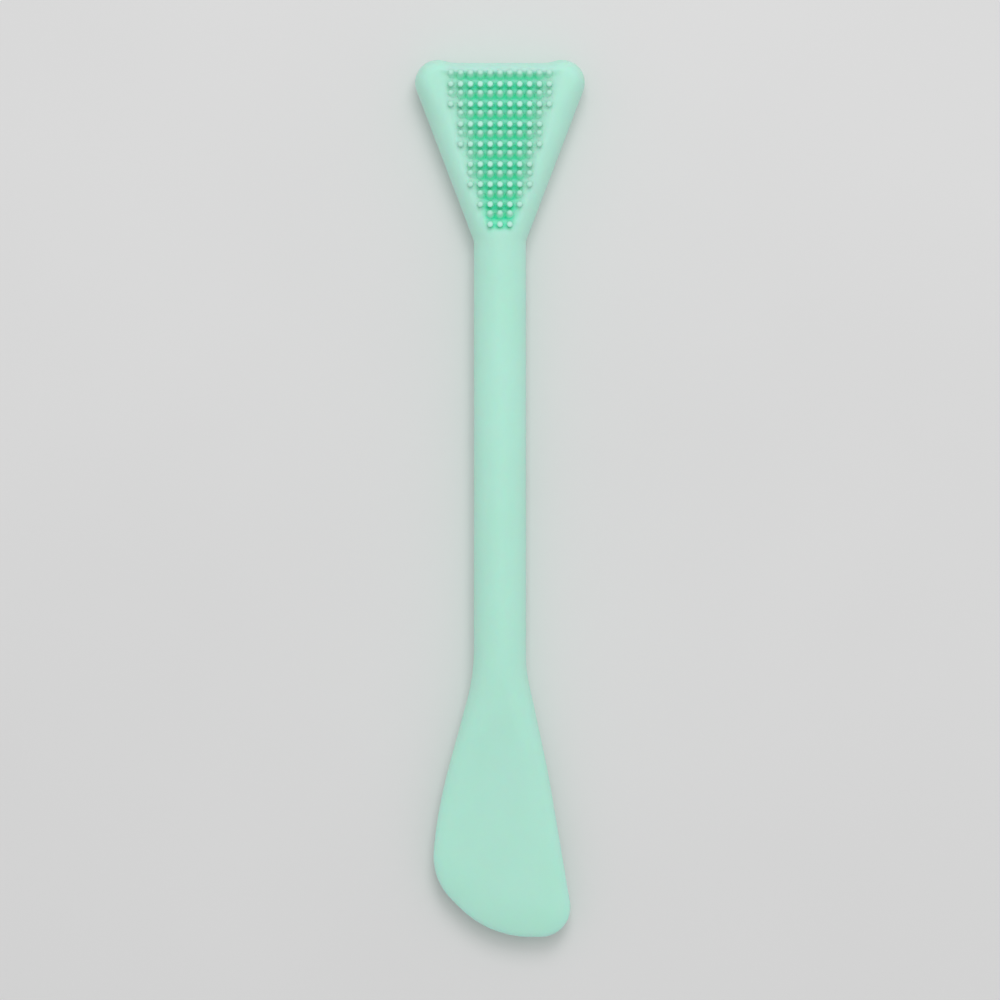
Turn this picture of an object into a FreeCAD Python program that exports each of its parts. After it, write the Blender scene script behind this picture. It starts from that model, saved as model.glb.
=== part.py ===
"""Double-ended silicone face tool: a cleansing brush head, a round handle and a flexible spatula.

The tool lies on its back. +Y runs along the handle towards the brush head, +Z points up out of the
bristles and +X is to the right when the bristles face the viewer with the head at the top. The
origin is on the resting plane, under the handle axis, half-way along the tool. Lengths are mm.
"""

import FreeCAD, Part
import math
import os

# Overall
HALF_LENGTH = 85.0
HANDLE_RADIUS = 5.05
AXIS_Z = HANDLE_RADIUS
NECK_Y = 49.9
# Steepest growth of the section where the round handle turns into the head or the blade
FLARE_SLOPE = 0.47

# Brush head
HEAD_FLARE = 0.381
HEAD_TOP_Y = 84.42
LOBE_Y = 87.46
LOBE_RADIUS = 4.4
TOP_DIP_X = 9.46
TOP_DIP_RADIUS = 8.8
NECK_BLEND = 6.0
HEAD_THICKNESS = 2 * HANDLE_RADIUS
HEAD_EDGE_ROUND = 3.4
HEAD_ROOT_Y = 46.0

# Dish that the bristles stand in
DISH_FLOOR_Z = 8.3
DISH_RIGHT = ((3.0, 51.4, 2.6), (6.9, 60.4, 12.0), (12.6, 83.6, 3.4))
DISH_FLOOR_ROUND = 1.2

# Bristles: (rows, bristles in each row), from the wide end of the head to the neck
FIELD = ((4, 11), (4, 9), (4, 7), (2, 5), (2, 3))
FIRST_ROW_Y = 82.09
ROW_PITCH = 1.939
COLUMN_PITCH = 1.905
BRISTLE_ROOT = 0.3
# Radii at the foot and the tip, how far the tip leans towards the wide end, and its height
SHORT_BRISTLE = {"base": 0.84, "tip": 0.54, "lean": 0.60, "top_z": 10.2}
LONG_BRISTLE = {"base": 0.60, "tip": 0.53, "lean": 0.0, "top_z": 11.1}

# Spatula blade outline
BLADE_START_Y = -28.0
BLADE_FLARE_Y = -30.0
BLADE_RIGHT = ((HANDLE_RADIUS, -33.1, 21.0), (9.33, -53.0, 200.0), (14.71, -HALF_LENGTH, 5.8))
BLADE_LEFT = (
    (-2.12, -HALF_LENGTH, 19.5),
    (-13.32, -73.80, 11.8),
    (-12.13, -60.26, 88.0),
    (-HANDLE_RADIUS, -34.12, 38.8),
)
# Half thickness of the blade along its length
BLADE_THINNING = ((-24.0, 4.1), (-48.0, 3.4), (-60.0, 2.6), (-72.0, 2.15), (-90.0, 1.85))
BLADE_EDGE_ROUND = 1.5
HANDLE_TAPER_Y = -33.0
HANDLE_END_Y = -58.0
HANDLE_END_RADIUS = 2.3

# Line about which the blade bends
FLEX_Y = -48.0
FLEX_RADIUS = 3.4
FLEX_GAP = 0.4

# Stiffening core inside the silicone
CORE_RADIUS = 3.0
CORE_RIB_RADIUS = 3.7
CORE_RIB_WIDTH = 1.2
CORE_RIB_YS = (-20.0, 0.0, 20.0, 40.0)
CORE_PLATE_HALF = 1.2
CORE_OVERLAP = 2.0
PLATE_RIGHT = ((2.6, 50.0, 1.5), (11.6, 76.0, 1.5), (10.6, 79.6, 1.5))
PLATE_HOLES = ((0.0, 73.0), (-5.5, 73.0), (5.5, 73.0), (0.0, 62.0))
PLATE_HOLE_RADIUS = 1.5
TONGUE_RIGHT = ((2.6, -28.0, 1.0), (4.4, -42.0, 1.0))
TONGUE_HOLE_Y = -38.5
TONGUE_HOLE_RADIUS = 1.25

# Longer than any cut or sweep needs
REACH = 60.0
# Keeps a cut or a search clear of an end face
CLEAR = 1.0
SAME_HEIGHT = 1e-4


def at(x, y, z=0.0):
    return FreeCAD.Vector(x, y, z)


def rounded_outline(corners):
    """Closed wire through (x, y, radius) corners, each with a tangent arc, or sharp where radius is 0."""
    count = len(corners)
    bends = []
    for index, (x, y, radius) in enumerate(corners):
        corner = at(x, y)
        to_before = (at(*corners[index - 1][:2]) - corner).normalize()
        to_after = (at(*corners[(index + 1) % count][:2]) - corner).normalize()
        half_angle = to_before.getAngle(to_after) / 2
        run = radius / math.tan(half_angle)
        depth = radius / math.sin(half_angle) - radius
        bisector = (to_before + to_after).normalize()
        bends.append((corner + to_before * run, corner + bisector * depth, corner + to_after * run))
    edges = []
    for index, (start, middle, end) in enumerate(bends):
        if corners[index][2] > 0:
            edges.append(Part.Arc(start, middle, end).toShape())
        next_start = bends[(index + 1) % count][0]
        edges.append(Part.LineSegment(end, next_start).toShape())
    return Part.Wire(edges)


def slab(outline, low_z, high_z):
    """Solid between two heights with the given outline."""
    face = Part.Face(outline)
    face.translate(at(0, 0, low_z))
    return face.extrude(at(0, 0, high_z - low_z))


def both_sides(right):
    """Corners of an outline that is symmetric about X = 0, from those of its right half."""
    left = [(-x, y, radius) for x, y, radius in reversed(right)]
    return list(right) + left


def along_handle(radius, low_y, high_y):
    """Round bar on the handle axis."""
    return Part.makeCylinder(radius, high_y - low_y, at(0, low_y, AXIS_Z), at(0, 1, 0))


def band(low_y, high_y):
    """Box that holds everything between two stations along the tool."""
    return Part.makeBox(2 * REACH, high_y - low_y, 2 * REACH, at(-REACH, low_y, -REACH))


def flare(start_y, direction):
    """Cone that leaves the handle's surface at start_y and opens along +Y or -Y."""
    end_radius = HANDLE_RADIUS + FLARE_SLOPE * REACH
    return Part.makeCone(HANDLE_RADIUS, end_radius, REACH, at(0, start_y, AXIS_Z), at(0, direction, 0))


def flat_edges(shape, height, beyond_y):
    """Edges lying at one height, all of them past beyond_y at one end at least."""
    found = []
    for edge in shape.Edges:
        box = edge.BoundBox
        level = max(abs(box.ZMin - height), abs(box.ZMax - height)) < SAME_HEIGHT
        if level and box.YMax > beyond_y:
            found.append(edge)
    return found


def head_outline():
    half_width = HANDLE_RADIUS
    lobe_x = half_width + HEAD_FLARE * (LOBE_Y - NECK_Y)
    right = (
        (half_width, HEAD_ROOT_Y, 0),
        (half_width, NECK_Y, NECK_BLEND),
        (lobe_x, LOBE_Y, LOBE_RADIUS),
        (TOP_DIP_X, HEAD_TOP_Y, TOP_DIP_RADIUS),
    )
    return rounded_outline(both_sides(right))


def dish():
    tool = slab(rounded_outline(both_sides(DISH_RIGHT)), DISH_FLOOR_Z, HEAD_THICKNESS + DISH_FLOOR_ROUND)
    return tool.makeFillet(DISH_FLOOR_ROUND, flat_edges(tool, DISH_FLOOR_Z, NECK_Y))


def brush_head():
    """Rounded head with the dish in its front, narrowing to the handle's circle at the neck."""
    body = slab(head_outline(), 0.0, HEAD_THICKNESS)
    past_root = HEAD_ROOT_Y + CLEAR
    edges = flat_edges(body, 0.0, past_root) + flat_edges(body, HEAD_THICKNESS, past_root)
    body = body.makeFillet(HEAD_EDGE_ROUND, edges)
    return body.common(flare(NECK_Y, 1)).cut(dish())


def level_circle(radius, centre):
    return Part.Wire(Part.Circle(centre, at(0, 0, 1), radius).toShape())


def bristle(base, tip, lean, top_z):
    """Tapered post with a domed tip, its foot a little below the dish floor."""
    foot = at(0, -lean / 2, DISH_FLOOR_Z - BRISTLE_ROOT)
    shoulder = at(0, lean / 2, top_z - tip)
    post = Part.makeLoft([level_circle(base, foot), level_circle(tip, shoulder)], True, True)
    return post.fuse(Part.makeSphere(tip, shoulder)).removeSplitter()


def bristle_places():
    """(row index, x, y) of every bristle."""
    row = 0
    for rows, count in FIELD:
        for _ in range(rows):
            y = FIRST_ROW_Y - ROW_PITCH * row
            for column in range(count):
                yield row, COLUMN_PITCH * (column - (count - 1) / 2), y
            row += 1


def bristles(size, row_parity, head):
    """Every second row of bristles, each a solid of its own that ends on the dish."""
    master = bristle(**size)
    posts = []
    for row, x, y in bristle_places():
        if row % 2 == row_parity:
            post = master.copy()
            post.translate(at(x, y))
            posts.extend(post.cut(head).Solids)
    return Part.makeCompound(posts)


def blade_profile():
    """Thickness of the blade, swept across its width."""
    upper = [at(-REACH, y, AXIS_Z + half) for y, half in BLADE_THINNING]
    lower = [at(-REACH, y, AXIS_Z - half) for y, half in reversed(BLADE_THINNING)]
    curves = []
    for points in (upper, lower):
        curve = Part.BSplineCurve()
        curve.interpolate(points)
        curves.append(curve.toShape())
    tip = Part.LineSegment(upper[-1], lower[0]).toShape()
    root = Part.LineSegment(lower[-1], upper[0]).toShape()
    outline = Part.Wire([curves[0], tip, curves[1], root])
    return Part.Face(outline).extrude(at(2 * REACH, 0, 0))


def blade_paddle():
    """Flat paddle with rounded edges that grows out of the handle."""
    root_right = (HANDLE_RADIUS, BLADE_START_Y, 0)
    root_left = (-HANDLE_RADIUS, BLADE_START_Y, 0)
    outline = rounded_outline((root_right,) + BLADE_RIGHT + BLADE_LEFT + (root_left,))
    paddle = slab(outline, -REACH, REACH).common(blade_profile()).Solids[0]
    rims = []
    for face in paddle.Faces:
        low_u, high_u, low_v, high_v = face.ParameterRange
        normal = face.normalAt((low_u + high_u) / 2, (low_v + high_v) / 2)
        if abs(normal.z) > abs(normal.x) + abs(normal.y):
            rims.extend(edge for edge in face.Edges if edge.BoundBox.YMin < BLADE_START_Y - CLEAR)
    return paddle.makeFillet(BLADE_EDGE_ROUND, rims).common(flare(BLADE_FLARE_Y, -1))


def shaft_and_blade():
    """The handle and the blade as one shape, before the bend line divides it."""
    handle = along_handle(HANDLE_RADIUS, HANDLE_TAPER_Y, NECK_Y)
    taper_length = HANDLE_TAPER_Y - HANDLE_END_Y
    start = at(0, HANDLE_TAPER_Y, AXIS_Z)
    taper = Part.makeCone(HANDLE_RADIUS, HANDLE_END_RADIUS, taper_length, start, at(0, -1, 0))
    return handle.fuse([taper, blade_paddle()]).removeSplitter()


def bend_cylinder(radius):
    return Part.makeCylinder(radius, 2 * REACH, at(-REACH, FLEX_Y, AXIS_Z), at(1, 0, 0))


def handle_sleeve(stock):
    sleeve = stock.common(band(FLEX_Y, NECK_Y))
    return sleeve.cut(bend_cylinder(FLEX_RADIUS + FLEX_GAP))


def spatula_blade(stock):
    outer = stock.common(band(-HALF_LENGTH - CLEAR, FLEX_Y))
    knuckle = stock.common(bend_cylinder(FLEX_RADIUS))
    return outer.fuse(knuckle).removeSplitter()


def core():
    """Stiff bar with retention ribs, a plate inside the head and a tongue at the blade's root."""
    low_z = AXIS_Z - CORE_PLATE_HALF
    high_z = AXIS_Z + CORE_PLATE_HALF
    plate = slab(rounded_outline(both_sides(PLATE_RIGHT)), low_z, high_z)
    for x, y in PLATE_HOLES:
        plate = plate.cut(Part.makeCylinder(PLATE_HOLE_RADIUS, REACH, at(x, y, 0)))
    tongue = slab(rounded_outline(both_sides(TONGUE_RIGHT)), low_z, high_z)
    tongue = tongue.cut(Part.makeCylinder(TONGUE_HOLE_RADIUS, REACH, at(0, TONGUE_HOLE_Y, 0)))
    rod_start = TONGUE_RIGHT[0][1] - CORE_OVERLAP
    rod_end = PLATE_RIGHT[0][1] + CORE_OVERLAP
    rod = along_handle(CORE_RADIUS, rod_start, rod_end)
    half_rib = CORE_RIB_WIDTH / 2
    ribs = [along_handle(CORE_RIB_RADIUS, y - half_rib, y + half_rib) for y in CORE_RIB_YS]
    return rod.fuse(ribs + [plate, tongue]).removeSplitter()


def build():
    """Every node of the tool by name."""
    stiffener = core()
    head = brush_head()
    stock = shaft_and_blade()
    return {
        "core": stiffener,
        "brush_head": head.cut(stiffener),
        "short_bristles": bristles(SHORT_BRISTLE, 0, head),
        "long_bristles": bristles(LONG_BRISTLE, 1, head),
        "handle_sleeve": handle_sleeve(stock).cut(stiffener),
        "spatula_blade": spatula_blade(stock),
    }


os.makedirs("parts", exist_ok=True)
for node, shape in build().items():
    shape.exportStep(f"parts/{node}.step")
    box = shape.BoundBox
    print(node, len(shape.Solids), "solids", round(shape.Volume, 1), "mm3", shape.isValid(), box)
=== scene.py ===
"""Looks of the silicone face tool: one skin, two kinds of bristles and the core inside.

Shapes are worked out in millimetres in the frame's axes, and scaled to metres when a mesh is made.
"""

import math

import bmesh
import bpy
import numpy as np
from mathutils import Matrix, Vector
from mathutils.geometry import delaunay_2d_cdt


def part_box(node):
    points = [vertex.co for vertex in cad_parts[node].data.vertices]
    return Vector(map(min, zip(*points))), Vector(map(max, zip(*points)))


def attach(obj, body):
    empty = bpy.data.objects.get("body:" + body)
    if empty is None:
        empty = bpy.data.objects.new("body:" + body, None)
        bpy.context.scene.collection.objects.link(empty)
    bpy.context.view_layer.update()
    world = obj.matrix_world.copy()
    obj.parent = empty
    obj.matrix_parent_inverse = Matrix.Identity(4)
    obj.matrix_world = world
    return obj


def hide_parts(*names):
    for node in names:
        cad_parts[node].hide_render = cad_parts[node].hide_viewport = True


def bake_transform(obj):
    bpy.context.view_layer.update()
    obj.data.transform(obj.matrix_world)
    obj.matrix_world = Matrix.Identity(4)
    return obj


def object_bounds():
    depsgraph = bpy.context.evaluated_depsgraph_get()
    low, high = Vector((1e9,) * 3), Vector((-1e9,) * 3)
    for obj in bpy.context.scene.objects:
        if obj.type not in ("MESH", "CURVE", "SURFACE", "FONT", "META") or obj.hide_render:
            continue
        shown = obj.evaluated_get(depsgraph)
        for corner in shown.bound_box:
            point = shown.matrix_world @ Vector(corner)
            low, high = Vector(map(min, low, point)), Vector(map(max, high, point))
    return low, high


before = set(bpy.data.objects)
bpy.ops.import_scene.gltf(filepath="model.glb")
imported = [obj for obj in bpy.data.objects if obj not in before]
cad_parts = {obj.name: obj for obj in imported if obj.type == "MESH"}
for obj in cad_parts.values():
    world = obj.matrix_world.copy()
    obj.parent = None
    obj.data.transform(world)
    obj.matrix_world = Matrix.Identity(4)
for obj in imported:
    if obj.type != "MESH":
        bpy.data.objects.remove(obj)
CAD_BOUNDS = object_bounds()

MM = 0.001
# Mesh attribute of painted light: above 0 painted shade, a deeper green among the bristles; below 0
# painted highlight, paler tips of the bristles
PAINTED_LIGHT_ATTRIBUTE = "shade"

# Driving sizes, read from the frame
HALF_LENGTH = (CAD_BOUNDS[1].y - CAD_BOUNDS[0].y) / 2 / MM
NECK_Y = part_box("handle_sleeve")[1].y / MM
HANDLE_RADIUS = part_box("handle_sleeve")[1].z / MM / 2
AXIS_Z = HANDLE_RADIUS
DISH_FLOOR_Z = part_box("long_bristles")[0].z / MM

# Outline of the whole tool, clockwise from the top of the head: (x, y, radius of the corner)
OUTLINE = (
    (9.46, 84.42, 8.8),
    (19.36, 87.46, 4.4),
    (HANDLE_RADIUS, NECK_Y, 1.5),
    (HANDLE_RADIUS, -33.1, 21.0),
    (9.33, -53.0, 200.0),
    (14.71, -HALF_LENGTH, 5.8),
    (-2.12, -HALF_LENGTH, 19.5),
    (-13.32, -73.8, 11.8),
    (-12.13, -60.26, 88.0),
    (-HANDLE_RADIUS, -34.12, 38.8),
    (-HANDLE_RADIUS, NECK_Y, 1.5),
    (-19.36, 87.46, 4.4),
    (-9.46, 84.42, 8.8),
)
# Spacing of an outline's points on arcs and on straight stretches
ARC_STEP = 0.45
STRAIGHT_STEP = 0.9
# Rings of vertices within the outline, how far in the last one lies, and the grid inside it
EDGE_RINGS = 12
EDGE_BAND = 3.6
GRID_STEP = 0.35

# Edge where the dish starts at the sides and the neck, where it starts at the wide end, how far in
# from each it reaches its floor, and how gently it starts
DISH_RIGHT = ((14.13, 88.0, 3.6), (7.7, 60.4, 12.0), (3.6, 50.6, 2.8))
DISH_END_Y = 83.1
DISH_SLOPE_WIDTH = 4.6
DISH_END_WIDTH = 1.7
DISH_SLOPE_POWER = 1.3
# Low ribs across the floor, one along each row of bristles, a little towards the wide end
RIB_HEIGHT = 0.25
RIB_OFFSET = 0.50
# Fall of the head's front from the dish's edge outwards, per millimetre squared, and the stretch of
# Y over which it sets in
SHOULDER_FALL = 0.045
SHOULDER_START_Y = NECK_Y - 2.0
SHOULDER_FULL_Y = NECK_Y + 6.0

# Where the silicone among the bristles gets painted shade, a deeper green that stands in for the shade
# among them: how far in it is full at the neck's end and at the wide end, how far down the dish's slope
# it can be so, and how much painted light lessens it on a rib
PAINTED_SHADE_RIGHT = ((11.4, 85.0, 3.0), (3.3, 50.9, 2.4))
PAINTED_SHADE_WIDTHS = (2.2, 5.0)
PAINTED_SHADE_SLOPE_SHARE = 0.55
RIB_PAINTED_LIGHT = 0.5

# Half thickness of the blade's tip, and where the handle starts to thin towards it
TIP_HALF = 1.9
THINNING_START_Y = -31.0
THINNING_POWER = 1.8

# Rounded edge as (width at the front, width at the back, exponent) on the handle, and what is added
# to these along the tool: (Y where the change starts, Y where it is full, amounts)
EDGE_ROLL = (HANDLE_RADIUS, HANDLE_RADIUS, 2.0)
EDGE_ROLL_CHANGES = (
    (NECK_Y, NECK_Y + 12.0, (-0.6, -1.4, 0.4)),
    (73.0, 83.0, (-2.0, -0.9, 0.0)),
    (-34.0, -54.0, (0.5, 0.5, 0.5)),
    (-66.0, -82.0, (4.4, 3.4, -0.3)),
)

# Bristles: (rows, bristles in each row), from the wide end of the head to the neck
FIELD = ((4, 11), (4, 9), (4, 7), (2, 5), (2, 3))
FIRST_ROW_Y = 82.09
ROW_PITCH = 1.939
COLUMN_PITCH = 1.905
# Radii at the foot and the tip, the spread of the foot, how far the tip leans towards the wide end, the
# height of its dome, and the painted light of the foot and the tip: -1 full painted highlight (pale), 1
# full painted shade (deep)
SHORT_BRISTLE = {"base": 0.84, "tip": 0.54, "flare": 0.14, "lean": 0.60, "dome": 0.50,
                 "foot_painted_shade": 0.85, "tip_painted_highlight": -0.1}
LONG_BRISTLE = {"base": 0.56, "tip": 0.53, "flare": 0.24, "lean": 0.0, "dome": 0.32,
                "foot_painted_shade": 0.4, "tip_painted_highlight": -1.0}
# How far up a bristle the painted shade of its foot gives way to the painted highlight of its tip
FOOT_PAINTED_SHADE_REACH = 1.25
BRISTLE_SIDES = 24
BRISTLE_SINK = 0.05
# Rings of a bristle, as shares of its shaft and as degrees up its dome, and how fast the flare fades
SHAFT_RINGS = (0, 0.015, 0.04, 0.08, 0.14, 0.22, 0.34, 0.5, 0.75, 1.0)
DOME_RINGS = (15, 30, 45, 60, 72, 82, 90)
FLARE_POWER = 9

# Triangulation keeps what lies inside the border and takes points this close, in millimetres, as one.
# Vertices this close, in metres, are welded in every mesh.
CDT_INSIDE = 1
CDT_TOLERANCE = 1e-6
WELD_DISTANCE = MM / 1e4

# Colours: the two tones that a surface wanders between, the painted shade tone (a deeper green) for the
# shade among the bristles, and the painted highlight tone (a paler mint) for the bristles' lit tips
MINT_TONES = ((0.52, 0.895, 0.75), (0.54, 0.925, 0.78))
PAINTED_SHADE_TONE = (0.03, 0.90, 0.52)
PAINTED_HIGHLIGHT_TONE = (0.57, 1.0, 0.87)
NYLON_TONES = ((0.58, 0.58, 0.54), (0.72, 0.72, 0.68))
PAPER_TONES = ((0.80, 0.80, 0.80), (0.82, 0.82, 0.82))
# Range that most of a noise keeps to
NOISE_LOW = 0.3
NOISE_HIGH = 0.7

# Studio, with lengths in metres
FLOOR_HALF = 12.0
SOFTBOX_PLACE = (0.06, 0.36, 0.56)
SOFTBOX_SIZE = 0.3
SOFTBOX_ENERGY = 1.0
OVERHEAD_DIRECTION = (0.05, 0.28, 0.95)
OVERHEAD_ANGLE = math.radians(28)
OVERHEAD_ENERGY = 0.36
WORLD_STRENGTH = 0.55
CAMERA_DISTANCE = 2.0
CAMERA_Y = -0.0003
VIEW_WIDTH = 0.19384
SENSOR_WIDTH = 36.0


def smoothstep(t):
    """Smooth rise from 0 at t = 0 to 1 at t = 1, level outside these."""
    t = np.clip(t, 0.0, 1.0)
    return t * t * (3 - 2 * t)


def ramp(y, start, full):
    """Smooth rise from 0 at start to 1 at full, in either direction along Y."""
    return smoothstep((y - start) / (full - start))


def both_sides(right):
    """Clockwise corners of an outline symmetric about X = 0, from its right half's, top to bottom."""
    left = [(-x, y, radius) for x, y, radius in reversed(right)]
    return list(right) + left


def corner_arcs(corners):
    """(start, centre, end) of the arc at each (x, y, radius) corner of a closed outline."""
    places = [Vector((x, y)) for x, y, _ in corners]
    arcs = []
    for index, (_, _, radius) in enumerate(corners):
        corner = places[index]
        to_before = (places[index - 1] - corner).normalized()
        to_after = (places[(index + 1) % len(places)] - corner).normalized()
        half_angle = to_before.angle(to_after) / 2
        run = radius / math.tan(half_angle)
        centre = corner + (to_before + to_after).normalized() * (radius / math.sin(half_angle))
        arcs.append((corner + to_before * run, centre, corner + to_after * run))
    return arcs


def arc_points(start, centre, end, radius):
    """Points along an arc but for its end, and the normals to the right of the way along it."""
    arm = start - centre
    turn = arm.angle_signed(end - centre)
    steps = max(2, math.ceil(abs(turn) * radius / ARC_STEP))
    points, normals = [], []
    for k in range(steps):
        angle = -turn * k / steps
        turned = Vector((arm.x * math.cos(angle) - arm.y * math.sin(angle),
                         arm.x * math.sin(angle) + arm.y * math.cos(angle)))
        points.append(centre + turned)
        normals.append(-turned.normalized() * math.copysign(1, turn))
    return points, normals


def straight_points(start, end):
    """Points along a straight stretch but for its end, and the normals to the right of it."""
    along = end - start
    steps = max(1, round(along.length / STRAIGHT_STEP))
    normal = Vector((along.y, -along.x)).normalized()
    return [start + along * (k / steps) for k in range(steps)], [normal] * steps


def rounded_loop(corners):
    """Points round a closed outline of clockwise (x, y, radius) corners, and the inward normals."""
    arcs = corner_arcs(corners)
    points, normals = [], []
    for index, (start, centre, end) in enumerate(arcs):
        next_start = arcs[(index + 1) % len(arcs)][0]
        radius = corners[index][2]
        for stretch in (arc_points(start, centre, end, radius), straight_points(end, next_start)):
            points.extend(stretch[0])
            normals.extend(stretch[1])
    return np.array(points), np.array(normals)


def depth_inside(loop, points):
    """Distance from each point to a closed loop, positive inside it."""
    nearest = np.full(len(points), np.inf)
    inside = np.zeros(len(points), bool)
    for a, b in zip(loop, np.roll(loop, -1, axis=0)):
        edge = b - a
        share = np.clip((points - a) @ edge / (edge @ edge), 0.0, 1.0)
        nearest = np.minimum(nearest, np.hypot(*(points - a - share[:, None] * edge).T))
        crosses = (a[1] > points[:, 1]) != (b[1] > points[:, 1])
        if a[1] != b[1]:
            crossing_x = a[0] + (points[:, 1] - a[1]) / (b[1] - a[1]) * edge[0]
            inside ^= crosses & (points[:, 0] < crossing_x)
    return np.where(inside, nearest, -nearest)


TOOL_LOOP, TOOL_INWARD = rounded_loop(OUTLINE)
DISH_LOOP, _ = rounded_loop(both_sides(DISH_RIGHT))
PAINTED_SHADE_LOOP, _ = rounded_loop(both_sides(PAINTED_SHADE_RIGHT))


def half_thickness(y):
    """Half of the tool's thickness: the handle's radius, thinning towards the blade's tip."""
    share = np.clip((y + HALF_LENGTH) / (THINNING_START_Y + HALF_LENGTH), 0.0, 1.0)
    return TIP_HALF + (HANDLE_RADIUS - TIP_HALF) * smoothstep(share**THINNING_POWER)


def edge_roll(y):
    """Front width, back width and exponent of the rounded edge at each place along the tool."""
    roll = np.tile(EDGE_ROLL, (len(y), 1))
    for start, full, amounts in EDGE_ROLL_CHANGES:
        roll += ramp(y, start, full)[:, None] * amounts
    return roll.T


def rounded_height(depth, width, exponent):
    """Share of the full height at a depth inside the outline: 0 at the edge, level past width."""
    rest = np.clip(1 - depth / width, 0.0, 1.0)
    return np.sqrt(1 - rest**exponent)


def rib(y):
    """Share, from 0 to 1, of a rib's height."""
    rows_down = (FIRST_ROW_Y + RIB_OFFSET - y) / ROW_PITCH
    return (1 + np.cos(2 * math.pi * rows_down)) / 2


def down_slope(in_dish, y):
    """How far down the dish's slope a place is: 0 on the edge, 1 on the floor."""
    return np.clip(np.minimum(in_dish / DISH_SLOPE_WIDTH, (DISH_END_Y - y) / DISH_END_WIDTH), 0.0, 1.0)


def front_z(points, depth):
    """Height of the front: the rounded edge, lowered by the ribbed dish and the head's shoulder."""
    y = points[:, 1]
    width, _, exponent = edge_roll(y)
    dish_depth = HANDLE_RADIUS + AXIS_Z - DISH_FLOOR_Z
    in_dish = depth_inside(DISH_LOOP, points)
    sunk = smoothstep(down_slope(in_dish, y)) ** DISH_SLOPE_POWER
    hollow = (dish_depth - RIB_HEIGHT * rib(y)) * sunk
    on_head = ramp(y, SHOULDER_START_Y, SHOULDER_FULL_Y)
    crown = rounded_height(depth, width, exponent)
    shoulder = SHOULDER_FALL * np.clip(-in_dish, 0.0, None) ** 2 * on_head * crown
    return AXIS_Z + half_thickness(y) * crown - hollow - shoulder


def back_z(points, depth):
    """Height of the plain back."""
    y = points[:, 1]
    _, width, exponent = edge_roll(y)
    return AXIS_Z - half_thickness(y) * rounded_height(depth, width, exponent)


def painted_shade_share(points):
    """Share, from 0 to 1, of painted shade at a place in the dish, by how deep among the bristles it is;
    ribs get less of it as painted light.
    """
    y = points[:, 1]
    width = np.interp(y, (PAINTED_SHADE_LOOP[:, 1].min(), PAINTED_SHADE_LOOP[:, 1].max()), PAINTED_SHADE_WIDTHS)
    among = smoothstep(depth_inside(PAINTED_SHADE_LOOP, points) / width)
    low = smoothstep(down_slope(depth_inside(DISH_LOOP, points), y) / PAINTED_SHADE_SLOPE_SHARE)
    # Painted light on the ribs: they get less painted shade and look paler
    return among * low * (1 - RIB_PAINTED_LIGHT * rib(y))


def make_piece(name, vertices, faces, shade, material):
    """Smooth-shaded mesh object from millimetre vertices, with the painted shade or painted highlight of
    each in an attribute.
    """
    mesh = bpy.data.meshes.new(name)
    mesh.from_pydata((np.asarray(vertices) * MM).tolist(), [], faces)
    shades = mesh.attributes.new(PAINTED_LIGHT_ATTRIBUTE, "FLOAT", "POINT")
    shades.data.foreach_set("value", shade.astype(np.float32))
    work = bmesh.new()
    work.from_mesh(mesh)
    bmesh.ops.remove_doubles(work, verts=work.verts, dist=WELD_DISTANCE)
    bmesh.ops.recalc_face_normals(work, faces=work.faces)
    work.to_mesh(mesh)
    work.free()
    mesh.shade_smooth()
    mesh.materials.append(material)
    piece = bpy.data.objects.new(name, mesh)
    bpy.context.scene.collection.objects.link(piece)
    return piece


def inner_grid():
    """Points inside the band of edge rings, on a regular grid, and their depths inside the outline."""
    reach_x = np.abs(TOOL_LOOP[:, 0]).max()
    xs = np.arange(-math.ceil(reach_x / GRID_STEP), math.ceil(reach_x / GRID_STEP) + 1) * GRID_STEP
    ys = np.arange(-HALF_LENGTH, TOOL_LOOP[:, 1].max(), GRID_STEP)
    grid = np.array(np.meshgrid(xs, ys)).reshape(2, -1).T
    depth = depth_inside(TOOL_LOOP, grid)
    kept = depth > EDGE_BAND + GRID_STEP / 2
    return grid[kept], depth[kept]


def fill(points, border):
    """Triangles over points, of which the first so many are a closed border round the others."""
    edges = [(k, (k + 1) % border) for k in range(border)]
    places = [Vector(point) for point in points]
    _, _, triangles, sources, _, _ = delaunay_2d_cdt(places, edges, [], CDT_INSIDE, CDT_TOLERANCE)
    return [[sources[v][0] for v in triangle] for triangle in triangles]


def silicone_body(material):
    """Closed skin: rings that follow the outline, then a fine grid, on the front and on the back."""
    count = len(TOOL_LOOP)
    turns = np.arange(1, EDGE_RINGS + 1) * math.pi / 2 / EDGE_RINGS
    ring_depths = EDGE_BAND * (1 - np.cos(turns))
    rings = [TOOL_LOOP + TOOL_INWARD * depth for depth in ring_depths]
    grid, grid_depth = inner_grid()
    plan = np.vstack(rings + [grid])
    depth = np.append(np.repeat(ring_depths, count), grid_depth)
    last = (EDGE_RINGS - 1) * count
    centre = fill(plan[last:], count)

    vertices = [np.column_stack([TOOL_LOOP, np.full(count, AXIS_Z)])]
    # Painted shade among the bristles, on the front only
    shade = np.concatenate([np.zeros(count), painted_shade_share(plan), np.zeros(len(plan))])
    faces = []
    for side, height in enumerate((front_z, back_z)):
        base = count + side * len(plan)
        vertices.append(np.column_stack([plan, height(plan, depth)]))
        for k in range(count):
            after = (k + 1) % count
            faces.append((k, after, base + after, base + k))
            for ring in range(EDGE_RINGS - 1):
                low = base + ring * count
                faces.append((low + k, low + after, low + count + after, low + count + k))
        faces.extend(tuple(base + last + v for v in triangle) for triangle in centre)
    return make_piece("silicone_body", np.vstack(vertices), faces, shade, material)


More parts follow.
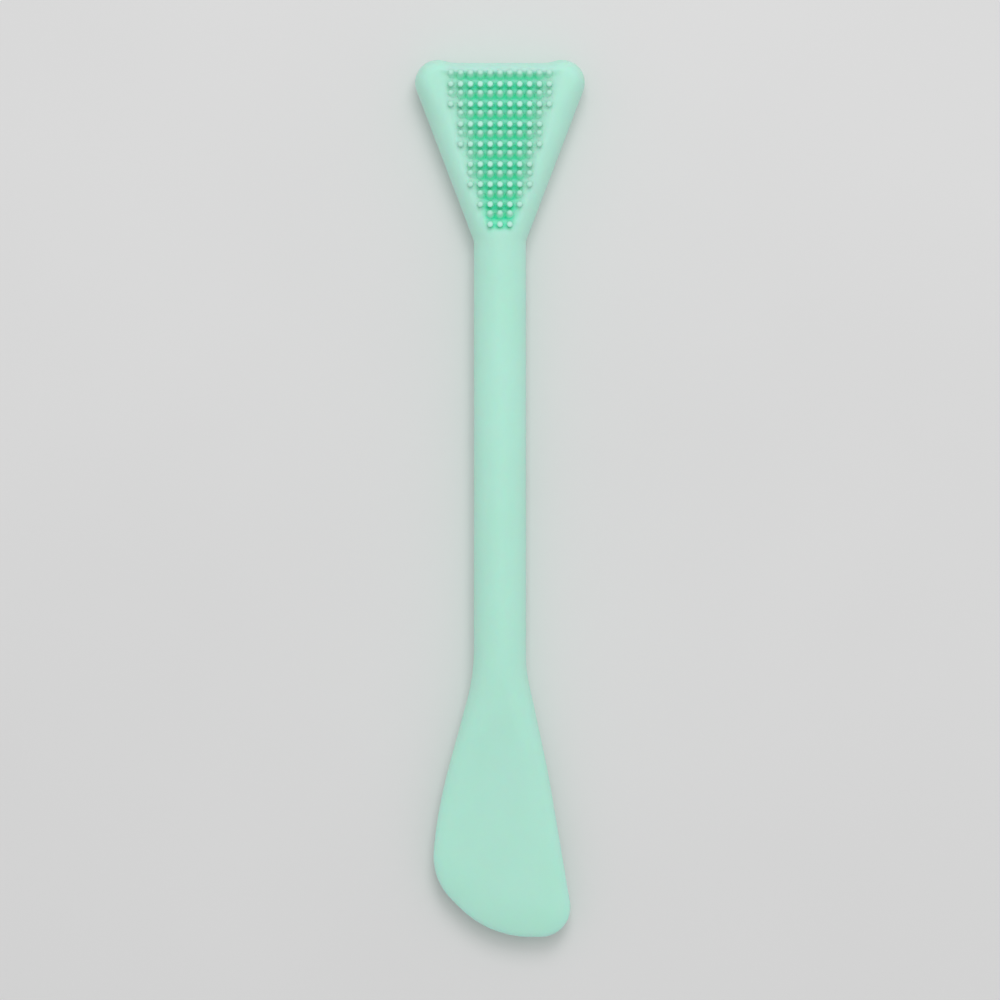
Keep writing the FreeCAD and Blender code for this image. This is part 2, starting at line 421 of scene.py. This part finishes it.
def bristle_places(parity):
    """(x, y) of every bristle in every second row."""
    row = 0
    for rows, count in FIELD:
        for _ in range(rows):
            if row % 2 == parity:
                for column in range(count):
                    yield COLUMN_PITCH * (column - (count - 1) / 2), FIRST_ROW_Y - ROW_PITCH * row
            row += 1


def bristle_rings(size, top_z):
    """Share climbed, radius, and height once climbed in full, of each ring from the foot up."""
    shaft = np.array(SHAFT_RINGS)
    dome = np.radians(DOME_RINGS)
    taper = size["tip"] + (size["base"] - size["tip"]) * (1 - shaft)
    flare = size["flare"] * (1 - shaft) ** FLARE_POWER
    climb = np.append(shaft, np.ones(len(dome)))
    radii = np.append(taper + flare, size["tip"] * np.cos(dome))
    rise = np.append(np.zeros(len(shaft)), np.sin(dome))
    return climb, radii, top_z - size["dome"] * (1 - rise)


def post_faces(posts, rings):
    """Faces of posts whose vertices are listed post by post and ring by ring from the foot up."""
    faces = []
    for post in range(posts):
        foot = post * rings * BRISTLE_SIDES
        for ring in range(rings - 1):
            low = foot + ring * BRISTLE_SIDES
            high = low + BRISTLE_SIDES
            for k in range(BRISTLE_SIDES):
                after = (k + 1) % BRISTLE_SIDES
                faces.append((low + k, low + after, high + after, high + k))
        faces.append(tuple(foot + k for k in reversed(range(BRISTLE_SIDES))))
    return faces


def bristles(name, size, parity, material):
    """Posts that stand on the lowest part of the dish within their foot and end at the CAD height."""
    top_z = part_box(name)[1].z / MM
    climb, radii, heights = bristle_rings(size, top_z)
    angles = np.arange(BRISTLE_SIDES) * 2 * math.pi / BRISTLE_SIDES
    circle = np.column_stack([np.cos(angles), np.sin(angles)])
    centres = np.array(list(bristle_places(parity)))
    lean = np.column_stack([np.zeros(len(climb)), size["lean"] * (climb - 0.5)])
    # By bristle, by ring, by place round the ring, and by x and y
    plan = centres[:, None, None] + radii[:, None, None] * circle + lean[:, None]
    feet = plan[:, 0].reshape(-1, 2)
    floor_z = front_z(feet, depth_inside(TOOL_LOOP, feet)).reshape(len(centres), -1)
    foot_z = floor_z.min(axis=1) - BRISTLE_SINK
    z = foot_z[:, None] * (1 - climb) + heights * climb
    z = np.broadcast_to(z[..., None, None], (*plan.shape[:3], 1))
    vertices = np.concatenate([plan, z], axis=3).reshape(-1, 3)
    # Painted shade at the bristle's foot, turning into the painted highlight of its tip
    foot_share = smoothstep(FOOT_PAINTED_SHADE_REACH * (1 - climb))[:, None]
    painted_level = size["foot_painted_shade"] * foot_share + size["tip_painted_highlight"] * (1 - foot_share)
    shade = painted_shade_share(plan.reshape(-1, 2)).reshape(plan.shape[:3]) * painted_level
    faces = post_faces(len(centres), len(radii))
    return make_piece(name + "_soft", vertices, faces, shade.ravel(), material)


def new_material(name):
    """Material with a Principled shader, its nodes and its links."""
    material = bpy.data.materials.new(name)
    material.use_nodes = True
    nodes = material.node_tree.nodes
    return material, nodes, material.node_tree.links, nodes["Principled BSDF"]


def noise(nodes, links, scale, detail):
    """Noise over the object's own coordinates, in features per metre."""
    coordinates = nodes.new("ShaderNodeTexCoord")
    texture = nodes.new("ShaderNodeTexNoise")
    texture.inputs["Scale"].default_value = scale
    texture.inputs["Detail"].default_value = detail
    links.new(coordinates.outputs["Object"], texture.inputs["Vector"])
    return texture.outputs["Fac"]


def spread(nodes, links, value, low, high):
    """A noise's usual range mapped to low..high."""
    mapped = nodes.new("ShaderNodeMapRange")
    mapped.inputs["From Min"].default_value = NOISE_LOW
    mapped.inputs["From Max"].default_value = NOISE_HIGH
    mapped.inputs["To Min"].default_value = low
    mapped.inputs["To Max"].default_value = high
    links.new(value, mapped.inputs["Value"])
    return mapped.outputs["Result"]


def two_tones(nodes, links, value, dark, light):
    """The dark tone where the value is 0, turning into the light one at 1."""
    mix = nodes.new("ShaderNodeMix")
    mix.data_type = "RGBA"
    mix.inputs["A"].default_value = (*dark, 1)
    mix.inputs["B"].default_value = (*light, 1)
    links.new(value, mix.inputs["Factor"])
    return mix.outputs["Result"]


def tint_by_painted_light(nodes, links, colour, tone, full_at):
    """The colour turning into a painted light tone as the mesh's painted shade or highlight goes from 0
    to full_at.
    """
    shade = nodes.new("ShaderNodeAttribute")
    shade.attribute_name = PAINTED_LIGHT_ATTRIBUTE
    share = nodes.new("ShaderNodeMapRange")
    share.inputs["From Max"].default_value = full_at
    links.new(shade.outputs["Fac"], share.inputs["Value"])
    mix = nodes.new("ShaderNodeMix")
    mix.data_type = "RGBA"
    mix.inputs["B"].default_value = (*tone, 1)
    links.new(share.outputs["Result"], mix.inputs["Factor"])
    links.new(colour, mix.inputs["A"])
    return mix.outputs["Result"]


def fine_bump(nodes, links, shader, layers):
    """Bumps of (features per metre, depth in metres), the coarser ones first."""
    normal = None
    for scale, depth in layers:
        bump = nodes.new("ShaderNodeBump")
        bump.inputs["Strength"].default_value = 1.0
        bump.inputs["Distance"].default_value = depth
        links.new(noise(nodes, links, scale, detail=3.0), bump.inputs["Height"])
        if normal is not None:
            links.new(normal, bump.inputs["Normal"])
        normal = bump.outputs["Normal"]
    links.new(normal, shader.inputs["Normal"])


def silicone(name, translucency):
    """Soft-touch mint silicone: matt and fine-grained, with painted shade (deep green) and painted
    highlight (pale) where the mesh's attribute says so.
    """
    material, nodes, links, shader = new_material(name)
    clouds = spread(nodes, links, noise(nodes, links, scale=60, detail=3.0), 0.0, 1.0)
    colour = two_tones(nodes, links, clouds, *MINT_TONES)
    # Painted shade as a deeper green, then painted highlight as a paler mint
    colour = tint_by_painted_light(nodes, links, colour, PAINTED_SHADE_TONE, 1.0)
    colour = tint_by_painted_light(nodes, links, colour, PAINTED_HIGHLIGHT_TONE, -1.0)
    links.new(colour, shader.inputs["Base Color"])
    grain = noise(nodes, links, scale=900, detail=2.0)
    links.new(spread(nodes, links, grain, 0.44, 0.54), shader.inputs["Roughness"])
    shader.inputs["Specular IOR Level"].default_value = 0.25
    shader.inputs["Subsurface Weight"].default_value = translucency
    shader.inputs["Subsurface Radius"].default_value = (0.45, 1.0, 0.8)
    shader.inputs["Subsurface Scale"].default_value = 0.0022
    fine_bump(nodes, links, shader, ((700, 0.00001), (4500, 0.000004)))
    return material


def nylon():
    """Glass-filled nylon core: pale grey, with short glass flecks and a dull moulded face."""
    material, nodes, links, shader = new_material("core_nylon")
    flecks = spread(nodes, links, noise(nodes, links, scale=1800, detail=2.0), 0.0, 1.0)
    links.new(two_tones(nodes, links, flecks, *NYLON_TONES), shader.inputs["Base Color"])
    grain = noise(nodes, links, scale=500, detail=2.0)
    links.new(spread(nodes, links, grain, 0.45, 0.6), shader.inputs["Roughness"])
    fine_bump(nodes, links, shader, ((1500, 0.00001),))
    return material


def floor_material():
    """Matt paper with faint clouds."""
    material, nodes, links, shader = new_material("floor_paper")
    clouds = spread(nodes, links, noise(nodes, links, scale=12, detail=3.0), 0.0, 1.0)
    links.new(two_tones(nodes, links, clouds, *PAPER_TONES), shader.inputs["Base Color"])
    shader.inputs["Roughness"].default_value = 0.9
    return material


def floor():
    """Level sheet of paper that the tool lies on."""
    mesh = bpy.data.meshes.new("floor")
    corners = [(x * FLOOR_HALF, y * FLOOR_HALF, 0) for x, y in ((-1, -1), (1, -1), (1, 1), (-1, 1))]
    mesh.from_pydata(corners, [], [(0, 1, 2, 3)])
    mesh.materials.append(floor_material())
    plane = bpy.data.objects.new("floor", mesh)
    bpy.context.scene.collection.objects.link(plane)


def add_light(light, towards_light):
    """Lamp that shines on the tool from a direction; an area light also stands at that place."""
    lamp = bpy.data.objects.new(light.name, light)
    lamp.location = towards_light
    lamp.rotation_mode = "QUATERNION"
    lamp.rotation_quaternion = Vector(towards_light).to_track_quat("Z", "Y")
    lamp.visible_camera = False
    bpy.context.scene.collection.objects.link(lamp)


def lighting():
    """Softbox beyond the head, wide soft light from overhead, and an even white surrounding."""
    softbox = bpy.data.lights.new("softbox", "AREA")
    softbox.size = SOFTBOX_SIZE
    softbox.energy = SOFTBOX_ENERGY
    add_light(softbox, SOFTBOX_PLACE)
    overhead = bpy.data.lights.new("overhead", "SUN")
    overhead.angle = OVERHEAD_ANGLE
    overhead.energy = OVERHEAD_ENERGY
    add_light(overhead, OVERHEAD_DIRECTION)
    world = bpy.data.worlds.new("studio")
    world.use_nodes = True
    background = world.node_tree.nodes["Background"]
    background.inputs["Color"].default_value = (1.0, 1.0, 1.0, 1)
    background.inputs["Strength"].default_value = WORLD_STRENGTH
    bpy.context.scene.world = world
    bpy.context.scene.view_settings.view_transform = "Standard"


def camera():
    """Square-on view of the bristle side, with the head at the top."""
    data = bpy.data.cameras.new("camera")
    data.sensor_width = SENSOR_WIDTH
    data.lens = SENSOR_WIDTH * CAMERA_DISTANCE / VIEW_WIDTH
    seer = bpy.data.objects.new("camera", data)
    seer.location = (0.0, CAMERA_Y, AXIS_Z * MM + CAMERA_DISTANCE)
    bpy.context.scene.collection.objects.link(seer)
    bpy.context.scene.camera = seer


def build():
    """Skin, bristles on the handle's body, core, and the studio round them."""
    body = silicone_body(silicone("mint_silicone", translucency=0.7))
    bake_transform(body)
    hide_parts("brush_head", "handle_sleeve", "spatula_blade")
    bristle_skin = silicone("bristle_silicone", translucency=0.0)
    for name, size, parity in (("short_bristles", SHORT_BRISTLE, 0), ("long_bristles", LONG_BRISTLE, 1)):
        posts = bristles(name, size, parity, bristle_skin)
        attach(posts, "handle")
        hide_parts(name)
    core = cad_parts["core"]
    core.data.materials.clear()
    core.data.materials.append(nylon())
    floor()
    lighting()
    camera()


build()
